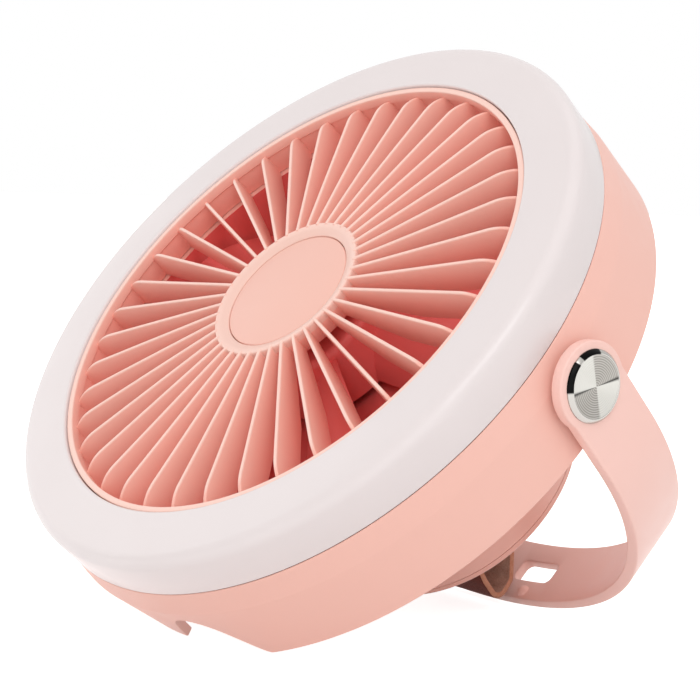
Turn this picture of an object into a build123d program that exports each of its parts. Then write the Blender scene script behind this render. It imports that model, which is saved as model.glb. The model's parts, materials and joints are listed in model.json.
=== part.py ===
from build123d import *
from math import atan2, cos, degrees, hypot, radians, sin, sqrt
import os

# Portable camping fan with a ring light.  Millimetres.
# The head is drawn face up: X is the pivot axis, Y points to the head's top edge and Z leaves the face.
# Depths are counted to the rear, from the plane of the grille's rim.
# At the end everything is turned about X, so that the fan leans back on its heel and its bracket.

# ---- used all over ----
fit_gap = 0.2               # between pieces that are laid in each other
running_gap = 0.04          # round a shaft
bite = 0.6                  # joined features run this far into each other
cut_over = 5.0              # cutting tools run at least this far past what they cut

# ---- head shell ----
head_radius = 90.0
ring_width = 16.0           # of the light, from the head's edge to the grille
ring_front = 0.8            # the ring's face stands this far proud of the grille's rim
ring_depth = 12.6           # side wall of the light ring, behind the rim's plane
ring_wall = 2.0
ring_corner = 3.5
seam = 0.25                 # shadow gap between ring and housing
crease_depth = 20.0
housing_depth = 38.5
housing_wall = 2.6
housing_flare = 1.0         # the wall widens by this much from the crease to its rear edge
flange_depth = 13.4
flange_thickness = 2.0
lip_height = 3.0            # the lip that the light ring slides over
lip_wall = 2.0
notch_angle = 9.75          # round the wall from its lowest point, towards +X
notch_depth = 9.0
notch_right_foot = 19.0     # the rest of the notch is measured across the wall, from that angle
notch_right_crown = -1.0
notch_left_crown = -4.0
notch_left_foot = -11.5

# ---- front grille ----
rim_width = 1.8
rim_depth = 9.6
rim_step_depth = 3.4        # behind here the rim's inner side steps back
rim_step = 0.5
vane_count = 40
vane_thickness = 1.2
vane_angle = 3.85           # of the first vane, from +X
vane_shoulder_radius = 12.0 # the level front edges round off towards the rim
vane_shoulder_drop = 2.2
vane_hub_depth = 5.4
hub_radius = 23.2
hub_crown_width = 1.2       # level edge of the hub ring, which slopes in from there to its cap
hub_crown_depth = 0.3
hub_ring_width = 4.2
hub_ring_skirt = 1.0        # the ring reaches this far behind the vanes
hub_cap_depth = 1.6
hub_cap_thickness = 2.2
hub_cap_round = 0.3
hub_edge_radius = 1.0

# ---- light ----
led_count = 36
led_length = 3.5
led_width = 2.8
led_height = 0.9
led_board_thickness = 1.2
led_board_width = 8.6

# ---- fan ----
duct_step = 3.4             # the duct is this much narrower than the grille
duct_wall = 2.0
blade_count = 7
blade_tip_gap = 2.2
blade_thickness = 1.8
blade_root_chord = 21.0
blade_tip_chord = 38.0
blade_root_bow = 2.0
blade_tip_bow = 3.0
blade_root_pitch = 42.0
blade_middle_pitch = 29.5
blade_tip_pitch = 23.0
blade_lead = 0.35           # the blades sit this far ahead of the hub's middle
blade_sweep = 7.0
blade_bite = 3.0            # how far the blades run into the hub, and past the tip before they are trimmed
impeller_hub_radius = 23.4
impeller_hub_wall = 2.0
impeller_hub_round = 2.0
impeller_front_depth = 10.8
impeller_rear_gap = 2.7     # between the hub's rear edge and the cover
can_wall = 1.2
magnet_thickness = 1.6
magnet_length = 9.0
air_gap = 0.5
stator_bore_radius = 5.6
stator_length = 8.0
stator_slots = 9
stator_yoke = 3.0
stator_arm_width = 2.4
stator_shoe_width = 9.0
stator_shoe_thickness = 1.4
coil_width = 4.6
coil_overhang = 1.3
coil_gap = 0.4
shaft_radius = 1.5
shaft_end_gap = 0.4
bearing_radius = 4.0
bearing_length = 2.5
bearing_lip = 1.0
motor_base_radius = 15.0
motor_base_thickness = 2.0
motor_tube_gap = 1.2
motor_screw_count = 3
motor_screw_start = 90.0
motor_screw_inset = 3.0
motor_screw_radius = 1.0
motor_screw_head = 1.2
motor_screw_head_radius = 1.9
motor_screw_gap = 0.3

# ---- rear cover ----
cover_depth = 30.5          # front side of the rear cover's plate
cover_thickness = 2.5
cover_edge_gap = 0.5
cover_slot_count = 44
cover_slot_start = 2.0
cover_slot_width = 2.6
cover_slot_inset = 5.4      # from the boss to the slots
cover_rib_width = 2.4
cover_post_radius = 3.2
cover_post_gap = 4.0        # between the duct and the posts of the pivots
cover_screw_count = 6
cover_screw_start = 30.0
cover_screw_radius = 1.3
cover_screw_bite = 11.6     # length of thread in the housing's posts
cover_screw_head = 1.8
cover_screw_head_radius = 2.6
thread_room = 2.0           # free length of a blind screw hole

# ---- what the battery boss holds; its radius and its length follow from this ----
boss_wall = 2.0
cell_radius = 9.1
cell_length = 65.0
cell_gap = 0.1
cell_clearance = 0.3        # between the cells' corners and the boss
cell_front_gap = 2.9
cell_spacing = 2.0          # between the two layers of cells
holder_length = 52.0
holder_width = 29.0
board_gap = 4.7
board_edge_gap = 2.2
board_thickness = 1.6
cap_room = 6.8              # between board and cap
cap_thickness = 2.6
cap_chamfer = 1.2
cap_lip_height = 3.0
cap_lip_wall = 1.6
post_count = 4
post_start = 45.0
post_inset = 8.1
post_radius = 2.6
board_screw_radius = 1.0
board_screw_head = 1.4
board_screw_head_radius = 2.0
board_screw_length = 5.0
usb_width = 9.0
usb_height = 3.3
usb_length = 8.0
usb_wall = 0.35
usb_corner = 1.55
usb_tongue = 0.7
usb_tongue_side_gap = 1.3
usb_tongue_setback = 1.2
usb_back = 1.5
usb_clearance = 0.35
usb_inset = 0.6

# ---- buttons and charge lights ----
button_radius = 4.8
button_offset = 26.0
button_proud = 1.3
button_round = 0.7
button_travel = 0.7
button_gap = 0.3
button_flange = 0.9
button_flange_thickness = 1.0
touch_gap = 0.05            # between pieces that only just don't touch
stem_radius = 2.0
switch_size = 6.0
switch_height = 3.0
charge_light_count = 4
charge_light_radius = 0.9
charge_light_pitch = 4.0
charge_light_height = 26.0
charge_light_gap = 0.5

# ---- hanging strap ----
strap_width = 30.0
strap_thickness = 1.8
strap_upper = 5.6           # where the two ends leave the boss
strap_lower = -14.5
strap_end = 7.0             # length of the ends that are folded in under the plate
strap_straight = 3.0        # the strap leaves the cap straight
strap_hang = 24.2           # depth of the loop behind the cap
strap_shoulder = 17.0
strap_shoulder_offset = 12.1
strap_nose = 7.3            # the loop sags this far past its lower end
strap_sag = 14.0
strap_sag_offset = 6.1
strap_fold_radius = 1.2
strap_bend_radius = 6.0
strap_shoulder_radius = 9.0
strap_nose_radius = 3.2
strap_sag_radius = 16.0
strap_slot_gap = 0.3
strap_plate_thickness = 1.5
strap_plate_gap = 1.2

# ---- bracket ----
pivot_depth = 25.5
bracket_gap = 2.4           # between the head and the bracket's arms
bracket_room = 5.0          # between the strap's loop and the bracket
bracket_straight = 19.7
bracket_thickness = 3.15
bracket_width = 20.4
bracket_end_bulge = 0.7     # the round ends are this much wider at each side
bracket_lean = 4.8          # degrees that the bracket is swung down from straight back
bracket_slot_length = 16.0
bracket_slot_width = 7.0
bracket_slot_offset = 17.7
bracket_slot_corner = 2.2
stud_radius = 2.0
stud_height = 1.5
stud_offset = 7.4
knob_radius = 8.9
knob_proud = 1.2
knob_seat = 1.2
knob_seat_gap = 0.15
knob_chamfer = 0.9
pivot_screw_radius = 3.0
pivot_screw_gap = 0.02
pivot_head_radius = 5.4
pivot_head_height = 1.1
bush_radius = 4.6
bush_length = 7.0
bush_end_gap = 0.5
pivot_post_radius = 7.4
washer_radius = 8.6
washer_gap = 0.1
pivot_seat_proud = 1.0
pivot_seat_bite = 1.0

# ---- worked out from the sizes above ----
grille_radius = head_radius - ring_width
rim_inner = grille_radius - rim_width
hub_cap_radius = hub_radius - hub_ring_width
duct_radius = grille_radius - duct_step
duct_outer = duct_radius + duct_wall
flange_rear = flange_depth + flange_thickness
rear_radius = head_radius + housing_flare
led_circle = (grille_radius + ring_wall + head_radius - ring_wall - housing_wall) / 2

cover_rear = cover_depth + cover_thickness
cell_first_depth = cover_rear + cell_front_gap + cell_radius
cell_second_depth = cell_first_depth + 2 * cell_radius + cell_spacing
board_depth = cell_second_depth + cell_radius + board_gap
board_rear = board_depth + board_thickness
cap_depth = board_rear + cap_room
boss_end_depth = cap_depth + cap_thickness
boss_inner = hypot(cell_length / 2, 2 * cell_radius + cell_gap) + cell_clearance
boss_radius = boss_inner + boss_wall
board_radius = boss_inner - board_edge_gap
post_circle = boss_radius - post_inset
usb_middle = board_rear + usb_height / 2
cover_slot_inner = boss_radius + cover_slot_inset
cover_slot_outer = duct_outer + fit_gap
cover_post_circle = (duct_outer + rear_radius - housing_wall) / 2

blade_tip_radius = duct_radius - blade_tip_gap
blade_middle_depth = (impeller_front_depth + cover_depth) / 2 - blade_lead
hub_end = cover_depth - impeller_rear_gap
can_radius = impeller_hub_radius - impeller_hub_wall
can_front = impeller_front_depth + impeller_hub_wall
magnet_radius = can_radius - can_wall
stator_radius = magnet_radius - magnet_thickness - air_gap
base_front = cover_depth - motor_base_thickness
stator_front = base_front - coil_overhang - motor_screw_head - motor_screw_gap - stator_length
motor_tube_front = can_front + can_wall + motor_tube_gap
motor_screw_circle = motor_base_radius - motor_screw_inset
rear_bearing_front = cover_depth - bearing_lip - bearing_length

strap_fold_depth = cap_depth - strap_plate_thickness - strap_thickness / 2
bracket_inner = head_radius + bracket_gap
bracket_end_radius = bracket_width / 2 + bracket_end_bulge
bracket_reach = boss_end_depth + strap_hang + strap_thickness / 2 + bracket_room - pivot_depth
outer_reach = bracket_reach + bracket_thickness
knob_floor = bracket_inner + bracket_thickness - knob_seat
knob_face = bracket_inner + bracket_thickness + knob_proud
wall_at_pivot = head_radius + housing_flare * (pivot_depth - crease_depth) / (housing_depth - crease_depth)
pivot_seat = head_radius + pivot_seat_proud


def spun(*points):
    """Solid of revolution about the head's axis, from an outline of (radius, z) points."""
    return revolve(Plane.XZ * make_face(Polyline(*points, close=True)), Axis.Z)


def tube(outer, inner, front, rear):
    """Ring between two radii and two depths."""
    return spun((inner, -front), (outer, -front), (outer, -rear), (inner, -rear))


def disc(radius, front, rear):
    """Round plate about the head's axis, between two depths."""
    return Pos(0, 0, -(front + rear) / 2) * Cylinder(radius, rear - front)


def around(piece, count, start=0.0):
    """Copies of a piece turned evenly about the head's axis."""
    return [Rot(0, 0, start + 360 * i / count) * piece for i in range(count)]


def on_circle(radius, count, start, front, rear, size):
    """Short round pins on a circle, parallel to the head's axis."""
    pin = Pos(radius, 0, -(front + rear) / 2) * Cylinder(size, rear - front)
    return around(pin, count, start)


def along_x(radius, low, high):
    """Cylinder on the pivot axis between two distances from the middle."""
    place = Pos((low + high) / 2, 0, -pivot_depth) * Rot(0, 90, 0)
    return place * Cylinder(radius, high - low)


def both_sides(piece):
    """A piece and its mirror image across the middle plane."""
    return [piece, mirror(piece, Plane.YZ)]


# ---- light ring, its board and its lamps ----
def make_light_ring():
    inner = grille_radius + fit_gap
    side_end = -ring_depth + seam
    width = head_radius - inner
    corner_first = (Align.MIN, Align.MAX)
    skin = Pos(inner, ring_front) * Rectangle(width, ring_front - side_end, align=corner_first)
    skin = fillet(skin.vertices().sort_by(lambda v: v.X + v.Y)[-1], ring_corner)
    hollow = Pos(inner + ring_wall, ring_front - ring_wall) * Rectangle(
        width - 2 * ring_wall, ring_depth + ring_front, align=corner_first)
    hollow = fillet(hollow.vertices().sort_by(lambda v: v.X + v.Y)[-1], ring_corner - ring_wall)
    foot = Pos(inner, side_end) * Rectangle(ring_wall, side_end + flange_depth, align=corner_first)
    return revolve(Plane.XZ * (skin + foot - hollow), Axis.Z)


def make_led_board():
    half = led_board_width / 2
    return tube(led_circle + half, led_circle - half, flange_depth - led_board_thickness, flange_depth)


def make_led_chips():
    top = flange_depth - led_board_thickness
    chip = Pos(led_circle, 0, -top + led_height / 2) * Box(led_width, led_length, led_height)
    return around(chip, led_count)


# ---- front housing: outer wall, lamp flange and duct in one moulding ----
def make_front_housing():
    lip = head_radius - ring_wall - fit_gap
    lip_top = -ring_depth + lip_height
    inner = head_radius - housing_wall
    collar_rear = -rim_depth - fit_gap
    duct_end = -cover_depth + fit_gap
    body = spun(
        (lip, lip_top), (lip, -ring_depth), (head_radius, -ring_depth), (head_radius, -crease_depth),
        (rear_radius, -housing_depth), (rear_radius - housing_wall, -housing_depth),
        (inner, -crease_depth), (inner, -flange_rear), (duct_outer, -flange_rear),
        (duct_outer, duct_end), (duct_radius, duct_end), (duct_radius, collar_rear),
        (grille_radius, collar_rear), (grille_radius, -flange_depth),
        (lip - lip_wall, -flange_depth), (lip - lip_wall, lip_top))
    outside = spun((0, 0), (head_radius, 0), (head_radius, -crease_depth),
                   (rear_radius, -housing_depth), (0, -housing_depth))
    body += both_sides(along_x(pivot_post_radius, duct_outer + cover_post_gap, rear_radius) & outside)
    body += both_sides(along_x(washer_radius, wall_at_pivot - pivot_seat_bite, pivot_seat))
    body += on_circle(cover_post_circle, cover_screw_count, cover_screw_start,
                      flange_rear - bite, cover_depth, cover_post_radius)
    body -= both_sides(along_x(bush_radius, head_radius - bush_length, pivot_seat + cut_over))
    hole_end = cover_depth - cover_screw_bite - thread_room
    body -= on_circle(cover_post_circle, cover_screw_count, cover_screw_start,
                      hole_end, cover_depth + cut_over, cover_screw_radius)
    return body - make_notch_tool()


def notch_side(foot, crown):
    """One flank of the notch: it eases off the rear edge and runs out level at the crown."""
    low = -housing_depth
    run = crown - foot
    return Bezier((foot, low), (foot + 0.3 * run, low + 0.35 * notch_depth),
                  (foot + 0.62 * run, low + notch_depth), (crown, low + notch_depth))


def make_notch_tool():
    """Uneven arch that is cut through the wall's rear edge at the fan's heel."""
    right = notch_side(notch_right_foot, notch_right_crown)
    left = notch_side(notch_left_foot, notch_left_crown)
    below = -housing_depth - cut_over
    arch = right + Line(right @ 1, left @ 1) + left + Polyline(
        left @ 0, (notch_left_foot, below), (notch_right_foot, below), right @ 0)
    plane = Plane(origin=(0, 0, 0), x_dir=(1, 0, 0), z_dir=(0, -1, 0))
    cut = extrude(plane * make_face(arch), head_radius + cut_over)
    return Rot(0, 0, notch_angle) * (cut - Cylinder(duct_outer + cut_over, 4 * housing_depth))


# ---- front grille ----
def make_vane():
    """Radial plate with a level front edge that rounds off into the rim."""
    root = hub_radius - bite
    arc = vane_shoulder_radius
    run = sqrt(arc ** 2 - (arc - vane_shoulder_drop) ** 2)
    middle_drop = arc - sqrt(arc ** 2 - run ** 2 / 4)
    shoulder = ThreePointArc((rim_inner - run, 0), (rim_inner - run / 2, -middle_drop),
                             (rim_inner, -vane_shoulder_drop))
    outline = Line((root, 0), shoulder @ 0) + shoulder + Polyline(
        shoulder @ 1, (rim_inner + rim_step + bite, -vane_shoulder_drop),
        (rim_inner + rim_step + bite, -rim_depth), ((root + rim_inner) / 2, -rim_depth),
        (root, -vane_hub_depth), (root, 0))
    return extrude(Plane.XZ * make_face(outline), vane_thickness / 2, both=True)


def make_front_grille():
    rim = spun((rim_inner, 0), (grille_radius, 0), (grille_radius, -rim_depth),
               (rim_inner + rim_step, -rim_depth), (rim_inner + rim_step, -rim_step_depth),
               (rim_inner, -rim_step_depth))
    seat = hub_cap_radius + fit_gap
    seat_floor = -hub_cap_depth - hub_cap_thickness
    hub_rear = -vane_hub_depth - hub_ring_skirt
    half = make_face(Polyline(
        (0, seat_floor), (seat, seat_floor), (seat, -hub_cap_depth),
        (hub_radius - hub_crown_width, -hub_crown_depth), (hub_radius, -hub_crown_depth),
        (hub_radius, hub_rear), (0, hub_rear), close=True))
    edge = half.vertices().sort_by(lambda v: v.X + v.Y)[-1]
    hub = revolve(Plane.XZ * fillet(edge, hub_edge_radius), Axis.Z)
    return hub + around(make_vane(), vane_count, vane_angle) + rim


def make_hub_cap():
    cap = disc(hub_cap_radius, hub_cap_depth, hub_cap_depth + hub_cap_thickness)
    return chamfer(cap.edges().sort_by(Axis.Z)[-1], hub_cap_round)


# ---- impeller and motor ----
def blade_section(radius, chord, pitch, bow):
    """Cambered section of a blade on the plane that stands across a radius."""
    half = chord / 2
    thick = blade_thickness / 2
    upper = ThreePointArc((-half, 0), (0, bow + thick), (half, 0))
    lower = ThreePointArc((half, 0), (0, bow - thick), (-half, 0))
    plane = Plane(origin=(radius, 0, -blade_middle_depth), x_dir=(0, 1, 0), z_dir=(1, 0, 0))
    sweep = blade_sweep * (radius / blade_tip_radius) ** 2
    return plane * (Pos(sweep, 0) * Rot(0, 0, pitch) * make_face(upper + lower))


def make_impeller():
    blade = loft([
        blade_section(impeller_hub_radius - blade_bite, blade_root_chord, blade_root_pitch, blade_root_bow),
        blade_section((impeller_hub_radius + blade_tip_radius) / 2, (blade_root_chord + blade_tip_chord) / 2,
                      blade_middle_pitch, (blade_root_bow + blade_tip_bow) / 2),
        blade_section(blade_tip_radius + blade_bite, blade_tip_chord, blade_tip_pitch, blade_tip_bow)])
    swept = tube(blade_tip_radius, impeller_hub_radius - bite, 0, housing_depth)
    hub = disc(impeller_hub_radius, impeller_front_depth, hub_end)
    hub = fillet(hub.edges().sort_by(Axis.Z)[-1], impeller_hub_round)
    hub -= disc(can_radius, can_front, hub_end + cut_over)
    return hub + around(blade & swept, blade_count)


def make_rotor_can():
    can = disc(can_radius, can_front, hub_end)
    can -= disc(magnet_radius, can_front + can_wall, hub_end + cut_over)
    return can - disc(shaft_radius, 0, hub_end)


def make_magnet_ring():
    front = stator_front - (magnet_length - stator_length) / 2
    return tube(magnet_radius, magnet_radius - magnet_thickness, front, front + magnet_length)


def make_motor_shaft():
    return disc(shaft_radius, can_front, cover_depth - shaft_end_gap)


def make_motor_base():
    base = disc(motor_base_radius, base_front, cover_depth)
    base += disc(stator_bore_radius - touch_gap, motor_tube_front, base_front)
    base -= disc(bearing_radius, motor_tube_front - cut_over, motor_tube_front + bearing_length)
    base -= disc(bearing_radius, rear_bearing_front, cover_depth - bearing_lip)
    base -= disc(shaft_radius + bite, motor_tube_front - cut_over, cover_depth - fit_gap)
    return base - on_circle(motor_screw_circle, motor_screw_count, motor_screw_start,
                            base_front - cut_over, cover_depth + cut_over, motor_screw_radius)


def make_bearings():
    inner = shaft_radius + running_gap
    return [tube(bearing_radius, inner, front, front + bearing_length)
            for front in (motor_tube_front, rear_bearing_front)]


def make_stator_core():
    rear = stator_front + stator_length
    middle = -(stator_front + rear) / 2
    yoke_radius = stator_bore_radius + stator_yoke
    shoe_inner = stator_radius - stator_shoe_thickness
    arm_length = shoe_inner - yoke_radius + 2 * bite
    arm = Pos((yoke_radius + shoe_inner) / 2, 0, middle) * Box(arm_length, stator_arm_width, stator_length)
    shoe = tube(stator_radius, shoe_inner, stator_front, rear)
    shoe &= Pos(stator_radius, 0, middle) * Box(stator_radius, stator_shoe_width, 2 * stator_length)
    core = tube(yoke_radius, stator_bore_radius, stator_front, rear)
    return core + around(arm, stator_slots) + around(shoe, stator_slots)


def make_stator_coils():
    inner = stator_bore_radius + stator_yoke + coil_gap
    length = stator_radius - stator_shoe_thickness - coil_gap - inner
    middle = -stator_front - stator_length / 2
    coil = Box(length, coil_width, stator_length + 2 * coil_overhang)
    coil -= Box(2 * length, stator_arm_width + 2 * touch_gap, stator_length + 2 * touch_gap)
    return around(Pos(inner + length / 2, 0, middle) * coil, stator_slots)


def make_motor_screws():
    shafts = on_circle(motor_screw_circle, motor_screw_count, motor_screw_start,
                       base_front, cover_rear - shaft_end_gap, motor_screw_radius)
    heads = on_circle(motor_screw_circle, motor_screw_count, motor_screw_start,
                      base_front - motor_screw_head, base_front, motor_screw_head_radius)
    return [shaft + head for shaft, head in zip(shafts, heads)]


# ---- rear cover with the intake grille and the battery boss ----
def make_rear_cover():
    flare = housing_flare * (cover_depth - crease_depth) / (housing_depth - crease_depth)
    edge = head_radius - housing_wall + flare - cover_edge_gap
    body = disc(edge, cover_depth, cover_rear)
    body += tube(boss_radius, boss_inner, cover_rear - bite, cap_depth - fit_gap)
    slot_circle = (cover_slot_outer + cover_slot_inner) / 2
    outline = SlotOverall(cover_slot_outer - cover_slot_inner, cover_slot_width)
    slot = Pos(slot_circle, 0, -cover_rear) * extrude(outline, 2 * cover_thickness, both=True)
    body -= around(slot, cover_slot_count, cover_slot_start)
    half_rib = cover_rib_width / 2
    body += tube(slot_circle + half_rib, slot_circle - half_rib, cover_depth, cover_rear)
    post_end = duct_outer + cover_post_gap - fit_gap
    body -= both_sides(along_x(pivot_post_radius + fit_gap, post_end, head_radius))
    body -= on_circle(cover_post_circle, cover_screw_count, cover_screw_start,
                      cover_depth - cut_over, cover_rear + cut_over, cover_screw_radius + fit_gap)
    body -= on_circle(motor_screw_circle, motor_screw_count, motor_screw_start,
                      cover_depth - cut_over, cover_rear + cut_over, motor_screw_radius)
    socket_hole = Box(usb_width + 2 * usb_clearance, 6 * boss_wall, usb_height + 2 * usb_clearance)
    return body - Pos(0, boss_radius, -usb_middle) * socket_hole


def make_cover_screws():
    shafts = on_circle(cover_post_circle, cover_screw_count, cover_screw_start,
                       cover_depth - cover_screw_bite, cover_rear, cover_screw_radius)
    heads = on_circle(cover_post_circle, cover_screw_count, cover_screw_start,
                      cover_rear, cover_rear + cover_screw_head, cover_screw_head_radius)
    return [shaft + head for shaft, head in zip(shafts, heads)]


def charge_light_places():
    first = -(charge_light_count - 1) / 2
    return [((first + i) * charge_light_pitch, charge_light_height) for i in range(charge_light_count)]


def make_boss_cap():
    through = 4 * cap_thickness
    cap = disc(boss_radius, cap_depth, boss_end_depth)
    cap = chamfer(cap.edges().sort_by(Axis.Z)[0], cap_chamfer)
    lip = boss_inner - fit_gap
    cap += tube(lip, lip - cap_lip_wall, cap_depth - cap_lip_height, cap_depth + bite)
    cap += on_circle(post_circle, post_count, post_start, board_rear, cap_depth + bite, post_radius)
    slot = Box(strap_width + 2 * strap_slot_gap, strap_thickness + strap_slot_gap, through)
    cap -= [Pos(0, height, -boss_end_depth) * slot for height in (strap_upper, strap_lower)]
    cap -= both_sides(Pos(button_offset, 0, -boss_end_depth) * Cylinder(button_radius + button_gap, through))
    cap -= [Pos(x, y, -boss_end_depth) * Cylinder(charge_light_radius + touch_gap, through)
            for x, y in charge_light_places()]
    return cap - on_circle(post_circle, post_count, post_start, board_rear - cut_over,
                           board_depth + board_screw_length + thread_room, board_screw_radius)


def make_charge_lights():
    start = board_rear + charge_light_gap
    rod = Cylinder(charge_light_radius, boss_end_depth - start)
    return [Pos(x, y, -(boss_end_depth + start) / 2) * rod for x, y in charge_light_places()]


def make_main_board():
    holes = on_circle(post_circle, post_count, post_start, board_depth - cut_over,
                      board_rear + cut_over, board_screw_radius + fit_gap)
    return disc(board_radius, board_depth, board_rear) - holes


def make_board_screws():
    shafts = on_circle(post_circle, post_count, post_start, board_depth,
                       board_depth + board_screw_length, board_screw_radius)
    heads = on_circle(post_circle, post_count, post_start, board_depth - board_screw_head,
                      board_depth, board_screw_head_radius)
    return [shaft + head for shaft, head in zip(shafts, heads)]


def make_tact_switches():
    middle = -(board_rear + switch_height / 2)
    return both_sides(Pos(button_offset, 0, middle) * Box(switch_size, switch_size, switch_height))


def make_usb_socket():
    mouth = sqrt(boss_radius ** 2 - (usb_width / 2) ** 2) - usb_inset
    opening = Plane(origin=(0, mouth, -usb_middle), x_dir=(1, 0, 0), z_dir=(0, -1, 0))
    shell = extrude(opening * RectangleRounded(usb_width, usb_height, usb_corner), usb_length)
    inside = RectangleRounded(usb_width - 2 * usb_wall, usb_height - 2 * usb_wall, usb_corner - usb_wall)
    shell -= extrude(opening * inside, usb_length - usb_back)
    tongue = extrude(opening * Rectangle(usb_width - 2 * usb_tongue_side_gap, usb_tongue),
                     usb_length - usb_tongue_setback - bite)
    return shell + Pos(0, -usb_tongue_setback, 0) * tongue


def make_button():
    """Round push button with a stem that reaches towards its switch."""
    head = disc(button_radius, cap_depth - button_flange_thickness, boss_end_depth + button_proud)
    head = fillet(head.edges().sort_by(Axis.Z)[0], button_round)
    flange = disc(button_radius + button_gap + button_flange,
                  cap_depth - button_flange_thickness, cap_depth - touch_gap)
    stem = disc(stem_radius, board_rear + switch_height + button_travel + 2 * touch_gap,
                cap_depth - button_flange_thickness)
    return head + flange + stem


def cell_places():
    """Height and depth of the four cells' axes."""
    pitch = cell_radius + cell_gap
    return [(side * pitch, -depth) for side in (-1, 1) for depth in (cell_first_depth, cell_second_depth)]


def make_battery_cells():
    cell = Rot(0, 90, 0) * Cylinder(cell_radius, cell_length)
    return [Pos(0, y, z) * cell for y, z in cell_places()]


def make_battery_holder():
    """Spacer that fills the middle between the four cells."""
    block = Pos(0, 0, -(cell_first_depth + cell_second_depth) / 2) * Box(
        holder_length, holder_width, 2 * cell_radius - cell_spacing)
    hollow = Rot(0, 90, 0) * Cylinder(cell_radius + fit_gap, cell_length)
    block -= [Pos(0, y, z) * hollow for y, z in cell_places()]
    return max(block.solids(), key=lambda solid: solid.volume)


# ---- hanging strap and what holds its ends ----
def make_hang_strap():
    """Leather band that loops behind the boss and sags towards the heel."""
    fold = -strap_fold_depth
    loop_end = -boss_end_depth - strap_hang
    leaving = -boss_end_depth - strap_straight
    route = FilletPolyline(
        (strap_upper - strap_end, fold), (strap_upper, fold), (strap_upper, leaving),
        (strap_upper - strap_shoulder_offset, -boss_end_depth - strap_shoulder),
        (strap_lower, loop_end), (strap_lower - strap_nose, loop_end),
        (strap_lower - strap_sag_offset, -boss_end_depth - strap_sag),
        (strap_lower, leaving), (strap_lower, fold), (strap_lower + strap_end, fold),
        radius=[strap_fold_radius, strap_bend_radius, strap_shoulder_radius, strap_nose_radius,
                strap_nose_radius, strap_sag_radius, strap_bend_radius, strap_fold_radius])
    return extrude(Plane.YZ * trace(route, strap_thickness), strap_width / 2, both=True)


def make_strap_plate():
    clear = strap_thickness / 2 + strap_plate_gap
    low = strap_lower + clear
    high = strap_upper - clear
    middle = -(cap_depth - strap_plate_thickness / 2)
    return Pos(0, (low + high) / 2, middle) * Box(strap_width, high - low, strap_plate_thickness)


# ---- bracket, knobs and pivots ----
def bracket_shape(grow):
    """Area inside the bent band, or inside its outer face when grown by the band's thickness."""
    half = bracket_inner + grow
    bend = Pos(0, -bracket_straight) * Ellipse(half, bracket_reach - bracket_straight + grow)
    arms = Pos(0, -bracket_straight) * Rectangle(
        2 * half, bracket_straight + bracket_end_radius + cut_over, align=(Align.CENTER, Align.MIN))
    return bend + arms


def make_bracket():
    """Flat band bent to a U with elliptical bend, drawn with its arms running to -Z."""
    band = extrude(Plane.XZ * (bracket_shape(bracket_thickness) - bracket_shape(0)), bracket_width, both=True)
    side = Circle(bracket_end_radius)
    side += Rectangle(bracket_width, 2 * outer_reach, align=(Align.CENTER, Align.MAX))
    band &= extrude(Plane.YZ * side, 2 * bracket_inner, both=True)
    slot = RectangleRounded(bracket_slot_length, bracket_slot_width, bracket_slot_corner)
    for place in (-bracket_slot_offset, bracket_slot_offset):
        band -= Pos(place, 0, -bracket_reach) * extrude(slot, 3 * bracket_thickness, both=True)
        share = sqrt(1 - (place / bracket_inner) ** 2)
        drop = bracket_straight + (bracket_reach - bracket_straight) * share
        stud = Pos(place, -stud_offset, stud_height - stud_radius - drop) * Sphere(stud_radius)
        band += stud & Pos(place, -stud_offset, -drop) * Box(*[3 * stud_radius] * 3)
    for side in (-1, 1):
        turn = Rot(0, 90, 0)
        bore = Cylinder(pivot_screw_radius + pivot_screw_gap, 2 * (knob_seat + bracket_thickness))
        seat = Cylinder(knob_radius + knob_seat_gap, 2 * knob_seat)
        band -= Pos(side * bracket_inner, 0, 0) * turn * bore
        band -= Pos(side * (knob_floor + knob_seat), 0, 0) * turn * seat
    return Pos(0, 0, -pivot_depth) * Rot(-bracket_lean, 0, 0) * band


def make_knob():
    cap = along_x(knob_radius, knob_floor, knob_face)
    cap = chamfer(cap.edges().sort_by(Axis.X)[-1], knob_chamfer)
    return cap - along_x(pivot_head_radius + fit_gap, knob_floor - cut_over,
                         knob_floor + pivot_head_height + knob_seat_gap)


def make_pivot_screw():
    shaft = along_x(pivot_screw_radius, head_radius - bush_length + bush_end_gap, knob_floor)
    return shaft + along_x(pivot_head_radius, knob_floor, knob_floor + pivot_head_height)


def make_bush():
    bush = along_x(bush_radius, head_radius - bush_length, pivot_seat)
    return bush - along_x(pivot_screw_radius + running_gap, 0, pivot_seat + cut_over)


def make_washer():
    washer = along_x(washer_radius, pivot_seat, bracket_inner - washer_gap)
    return washer - along_x(pivot_screw_radius + running_gap, 0, bracket_inner + cut_over)


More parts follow.
